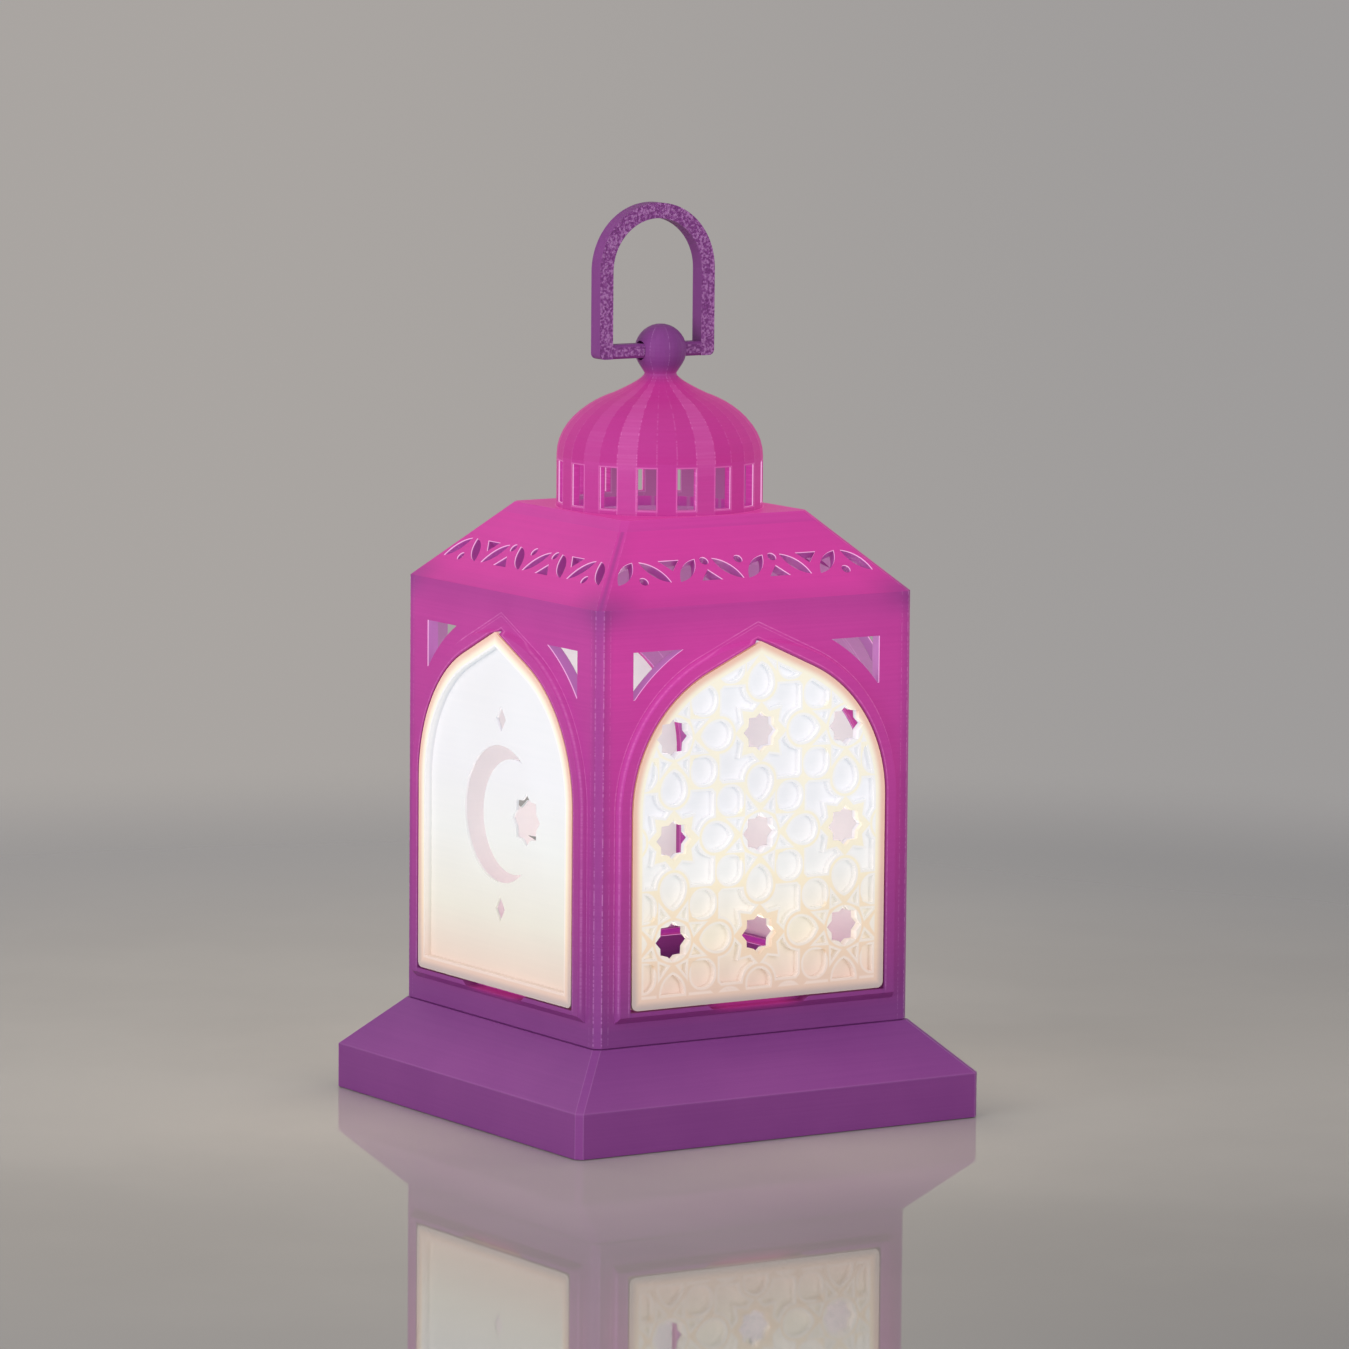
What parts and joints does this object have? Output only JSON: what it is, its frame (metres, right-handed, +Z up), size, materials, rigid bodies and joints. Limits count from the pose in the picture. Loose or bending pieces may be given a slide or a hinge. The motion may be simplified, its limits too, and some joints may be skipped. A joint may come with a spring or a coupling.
{
  "type": "fanous lantern",
  "caption": "Square fanous lantern with push-in pierced panels, domed roof, swinging carry ring, flared base and a push-on battery lamp.",
  "frame": {"origin": "centre of the base's underside, on the surface that the lantern stands on", "axes": "+Z up through the dome; -Y is the front, the star-patterned wall that the carry ring faces; +X is to the right"},
  "size_m": [0.1438, 0.1438, 0.2766],
  "materials": {
    "purple_plastic": "printed in fine level layers, slightly translucent, satin",
    "white_plastic": "printed white plastic that lets light through, satin",
    "lamp_plastic": "moulded light grey plastic, fine matt grain",
    "bezel_metal": "bright plated ring",
    "lens_plastic": "frosted lens that glows",
    "reflector_plastic": "glossy white reflector",
    "board": "green lacquered circuit board",
    "led": "yellow phosphor under clear resin",
    "switch_plastic": "black moulded plastic",
    "button_plastic": "light moulded plastic",
    "steel": "plated steel",
    "cell": "plain wrapped cell"
  },
  "bodies": {
    "base": {"base_floor": "purple_plastic", "base": "purple_plastic", "well_ring": "purple_plastic"},
    "housing": {"housing": "purple_plastic", "front_slope": "purple_plastic", "right_slope": "purple_plastic", "back_slope": "purple_plastic", "left_slope": "purple_plastic", "roof_plate": "purple_plastic", "drum": "purple_plastic", "dome": "purple_plastic"},
    "ring": {"carry_ring": "purple_plastic"},
    "front_panel": {"front_panel": "white_plastic"},
    "right_panel": {"right_panel": "white_plastic"},
    "back_panel": {"back_panel": "white_plastic"},
    "left_panel": {"left_panel": "white_plastic"},
    "lamp": {"lamp_case": "lamp_plastic", "lamp_tray": "lamp_plastic", "lamp_bezel": "bezel_metal", "lamp_reflector": "reflector_plastic", "led_board": "board", "led_chips": "led", "push_switch": "switch_plastic", "board_screws": "steel", "battery_1": "cell", "battery_2": "cell", "battery_3": "cell", "contact_springs": "steel", "contact_plates": "steel"},
    "lens": {"lamp_lens": "lens_plastic", "switch_button": "button_plastic"},
    "battery_cover": {"battery_cover": "lamp_plastic"}
  },
  "joints": [
    {"name": "housing_lift", "type": "slide", "parent": "base", "child": "housing", "axis": [0, 0, 1], "range_m": [0, 0.04]},
    {"name": "ring_swing", "type": "hinge", "parent": "housing", "child": "ring", "pos_m": [0, 0, 0.23178], "axis": [1, 0, 0], "range_deg": [-125, 125]},
    {"name": "front_panel_pull", "type": "slide", "parent": "housing", "child": "front_panel", "axis": [0, -1, 0], "range_m": [0, 0.02]},
    {"name": "right_panel_pull", "type": "slide", "parent": "housing", "child": "right_panel", "axis": [1, 0, 0], "range_m": [0, 0.02]},
    {"name": "back_panel_pull", "type": "slide", "parent": "housing", "child": "back_panel", "axis": [0, 1, 0], "range_m": [0, 0.02]},
    {"name": "left_panel_pull", "type": "slide", "parent": "housing", "child": "left_panel", "axis": [-1, 0, 0], "range_m": [0, 0.02]},
    {"name": "lamp_lift", "type": "slide", "parent": "base", "child": "lamp", "axis": [0, 0, 1], "range_m": [0, 0.03]},
    {"name": "lens_press", "type": "slide", "parent": "lamp", "child": "lens", "axis": [0, 0, -1], "range_m": [0, 0.0012], "stiffness_N_per_m": 1500},
    {"name": "cover_twist", "type": "hinge", "parent": "lamp", "child": "battery_cover", "pos_m": [0, 0, 0.0045], "axis": [0, 0, 1], "range_deg": [0, 30]}
  ]
}
